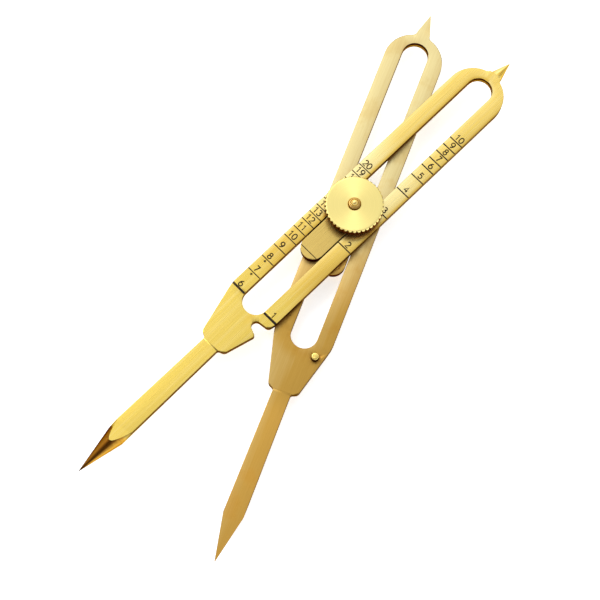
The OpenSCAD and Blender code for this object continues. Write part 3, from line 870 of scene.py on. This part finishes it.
def make_pivot_bolt():
    """Head, square neck, journal, threaded end and button, turned in one.

    On the neck the radius at an angle a is h / max(|cos a|, |sin a|), a square of half width h.
    """
    head_r, head_t, head_edge = BOLT_HIGH.x, 2.4 * MM, 0.4 * MM
    neck_half, neck_top = 2.9 * MM, BACK_TOP - 0.1 * MM
    past_corners = 1.6 * neck_half
    journal_r, journal_top = 2.7 * MM, FRONT_TOP - 0.1 * MM
    thread_r, thread_top = 2.0 * MM, NUT_HIGH.z + 0.8 * MM
    button_r, stem_h, ledge = 1.15 * MM, 0.35 * MM, 0.08 * MM
    button_z = thread_top + stem_h
    corners = [(0.2 * MM, 0, 0), (head_r / 2, 0, 0), (head_r, 0, head_edge), (head_r, head_t, head_edge),
               (past_corners, head_t, 0), (neck_half, head_t, 0), (neck_half, neck_top, 0),
               (journal_r, neck_top, 0), (journal_r, journal_top, 0), (thread_r, journal_top, 0),
               (thread_r, thread_top, 0.35 * MM), (button_r + stem_h, thread_top, ledge),
               (button_r + ledge, button_z, 0.06 * MM), (button_r, button_z, 0)]
    dome = np.radians(np.linspace(4, 86, 14))[:, None]
    cap = np.concatenate([button_r * np.cos(dome), button_z + button_r * np.sin(dome)], axis=1)
    profile = np.concatenate([rounded_profile(corners, 5), cap])

    def square_neck(r, z, a):
        square = neck_half / np.maximum(np.abs(np.cos(a)), np.abs(np.sin(a)))
        on_neck = np.isclose(r, neck_half, rtol=0, atol=1e-9) & (z <= neck_top)
        return np.where(on_neck, square, r + 0 * a)

    points, faces = turned(profile, 128, square_neck)
    points = points @ np.array(Matrix.Rotation(OPENING, 3, "Z")).T
    bolt = make_piece("pivot_bolt_turned", points, faces, "pivot", BOLT_BRASS, 32)
    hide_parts("pivot_bolt")
    return bolt


def make_alignment_pin():
    """A turned pin with a softly crowned end, standing in the back leg."""
    middle = (PIN_LOW + PIN_HIGH) / 2
    r = (PIN_HIGH.x - PIN_LOW.x) / 2
    low, high = PIN_LOW.z, PIN_HIGH.z
    crown, by_pole = 0.25 * MM, 0.1 * MM
    corners = [(by_pole, low, 0), (r, low, 0.12 * MM), (r, high - crown, 0.15 * MM),
               (r - crown, high, 0.2 * MM), (by_pole, high, 0)]
    points, faces = turned(rounded_profile(corners, 5), 64)
    points = points + np.array([middle.x, middle.y, 0])
    pin = make_piece("alignment_pin_turned", points, faces, "back_leg", PIN_BRASS, 35)
    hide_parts("alignment_pin")
    return pin


def make_scale(name, numbers, places, across, line_w, extra=()):
    """One bar's lines and numbers, with any extra marks, as one piece of wax on the front leg."""
    points, faces = joined(scale_marks(numbers, places, across, line_w) + list(extra))
    return make_piece(name, points, faces, "front_leg", WAX)


def make_index_line():
    """The wax in the front slider's index line, which lies a little under the slider's face."""
    half, line_w, sunk = 3.6 * MM, 0.24 * MM, 0.012 * MM
    top = SLIDER_TOP - sunk
    points, faces = stroke_prism(line((-INDEX_REACH, -half), (-INDEX_REACH, half)), line_w,
                                 top - INK_DEPTH, top)
    return make_piece("front_index_line", points, faces, "front_slider", WAX)


def half_marks(places, across):
    """A small cross on the bar, before each of the places."""
    size, lead, mark_w = 0.5 * MM, 0.9 * MM, 0.28 * MM
    marks = []
    for place in places:
        x = place - PIVOT_AT - lead
        for dx, dy in ((size, 0), (0, size)):
            marks.append(stroke_prism(line((x - dx, across - dy), (x + dx, across + dy)), mark_w,
                                      FRONT_TOP - INK_DEPTH, FRONT_TOP + INK_PROUD))
    return marks


def circles_ratio(corners):
    """The ratio that divides a circle into that many parts: 1 / (2 sin(180 / n))."""
    return 1 / (2 * math.sin(math.pi / corners))


eased_copy("front_leg", "front_leg_plate", FRONT_BRASS, grind_axis=LEG_LOW.z)
eased_copy("back_leg", "back_leg_plate", BACK_BRASS, turn=OPENING, grind_axis=BACK_TOP)
eased_copy("front_slider", "front_slider_block", FRONT_SLIDER_BRASS)
eased_copy("back_slider", "back_slider_block", BACK_SLIDER_BRASS)
make_thumb_nut()
make_pivot_bolt()
make_alignment_pin()
for washer in ("rear_washer", "clamp_washer"):
    ring = frame["nodes"][washer]
    ring.data.materials.clear()
    ring.data.materials.append(WASHER_BRASS)

circle_numbers, line_numbers = range(6, 21), range(1, 11)
circle_places = graduations([circles_ratio(n) for n in circle_numbers])
line_places = graduations(line_numbers, LINES_STRETCH)
make_scale("circles_scale_marks", circle_numbers, circle_places, UPPER_BAR, CIRCLES_LINE_W,
           half_marks(circle_places[1:3], UPPER_BAR))
make_scale("lines_scale_marks", line_numbers, line_places, LOWER_BAR, LINES_LINE_W)
make_index_line()


# ---------------------------------------------------------------- floor, light and camera

# The picture's axes lie over the frame's: the front leg rises by this angle across the picture
LEG_RISE = math.radians(44.598)
PICTURE_RIGHT = Vector((math.cos(LEG_RISE), -math.sin(LEG_RISE), 0))
PICTURE_UP = Vector((math.sin(LEG_RISE), math.cos(LEG_RISE), 0))
PIVOT_IN_PICTURE = (18.012 * MM, 30.903 * MM)
CONTACT_Z = 6.05 * MM
# The camera, as fitted to the outlines of both legs in the photograph
CAMERA_AT = (-9.851 * MM, -136.202 * MM, 532.776 * MM)
CAMERA_LENS, CAMERA_SENSOR = 98.876, 36
LAMP_AT, LAMP_SIZE, LAMP_POWER = (-0.36, 0.3, 0.75), 0.34, 1.8


def from_picture(x, y, z):
    """A point given along the picture's right and up from its middle, and up from the contact plane."""
    right, up = x - PIVOT_IN_PICTURE[0], y - PIVOT_IN_PICTURE[1]
    return PICTURE_RIGHT * right + PICTURE_UP * up + Vector((0, 0, z + CONTACT_Z))


def aim(thing, place, target, up):
    """Stands a camera or lamp at place, looking at target with up upright in its view."""
    back = (place - target).normalized()
    right = up.cross(back).normalized()
    turn = Matrix((right, back.cross(right), back)).transposed()
    thing.matrix_world = Matrix.Translation(place) @ turn.to_4x4()


def make_camera():
    data = bpy.data.cameras.new("camera")
    data.lens = CAMERA_LENS
    data.sensor_width = CAMERA_SENSOR
    data.clip_start, data.clip_end = 0.01, 20
    camera = bpy.data.objects.new("camera", data)
    bpy.context.scene.collection.objects.link(camera)
    aim(camera, from_picture(*CAMERA_AT), from_picture(0, 0, 0), PICTURE_UP)
    bpy.context.scene.camera = camera


def make_lamp(name, place, size, power):
    data = bpy.data.lights.new(name, "AREA")
    data.shape = "DISK"
    data.size = size
    data.energy = power
    lamp = bpy.data.objects.new(name, data)
    bpy.context.scene.collection.objects.link(lamp)
    aim(lamp, place, Vector((0, 0, 0)), PICTURE_UP)


def make_floor():
    """A white table that shows the object's soft shadow."""
    half, glow = 3.0, 0.62
    corners = [(-half, -half, 0), (half, -half, 0), (half, half, 0), (-half, half, 0)]
    mesh = bpy.data.meshes.new("floor")
    mesh.from_pydata(corners, [], [(0, 1, 2, 3)])
    floor = bpy.data.objects.new("floor", mesh)
    bpy.context.scene.collection.objects.link(floor)
    made, tree, shader = new_material("white_table", rgb(0.95, 0.95, 0.95))
    shader.inputs["Base Color"].default_value = rgb(0.86, 0.89, 0.95)
    shader.inputs["Roughness"].default_value = 0.9
    shader.inputs["Specular IOR Level"].default_value = 0.0
    path = add_node(tree, "ShaderNodeLightPath")
    seen = math_node(tree, "MAXIMUM", path.outputs["Is Camera Ray"], path.outputs["Is Glossy Ray"])
    seen = math_node(tree, "MAXIMUM", seen, path.outputs["Is Transmission Ray"])
    shader.inputs["Emission Color"].default_value = rgb(1, 1, 1)
    tree.links.new(times(tree, seen, glow), shader.inputs["Emission Strength"])
    mesh.materials.append(made)


def make_sky():
    """Studio light all round, brighter up and to the left, beyond the object and low down.

    It is darker by the camera. Each patch of it is given by its way along the picture's right and
    up and along Z, and by the angles from that way at which it starts and is full.
    """
    softbox, far_window = (-0.5, 0.87, 1.0, 50, 6), (0.45, 0.7, 0.68, 32, 8)
    far_side, camera_side = (0.0, 1.0, 0.2, 38, 10), (-0.08, -0.42, 0.9, 32, 8)
    all_round, low_band, camera_loss = 0.54, 0.24, 0.36
    world = bpy.data.worlds.new("studio")
    world.use_nodes = True
    tree = world.node_tree
    shader = tree.nodes["Background"]
    way = add_node(tree, "ShaderNodeTexCoord").outputs["Generated"]

    def patch(right, up, height, wide, narrow):
        towards = (PICTURE_RIGHT * right + PICTURE_UP * up + Vector((0, 0, height))).normalized()
        facing = add_node(tree, "ShaderNodeVectorMath", {0: way, 1: towards}, operation="DOT_PRODUCT")
        return smooth_range(tree, facing.outputs["Value"], math.cos(math.radians(wide)),
                            math.cos(math.radians(narrow)))

    strength = all_round
    for place, gain in ((softbox, 0.92), (far_window, 0.6), (far_side, 0.4)):
        strength = plus(tree, strength, times(tree, patch(*place), gain))
    height = add_node(tree, "ShaderNodeSeparateXYZ", {0: way}).outputs[2]
    strength = plus(tree, strength, smooth_range(tree, height, 0.4, 0.75, low_band, 0.0))
    strength = minus(tree, strength, times(tree, patch(*camera_side), camera_loss))
    tree.links.new(strength, shader.inputs["Strength"])
    shader.inputs["Color"].default_value = rgb(1.0, 0.99, 0.97)
    bpy.context.scene.world = world


make_camera()
make_floor()
make_sky()
make_lamp("key_lamp", from_picture(*LAMP_AT), LAMP_SIZE, LAMP_POWER)

bpy.context.scene.view_settings.view_transform = "Standard"
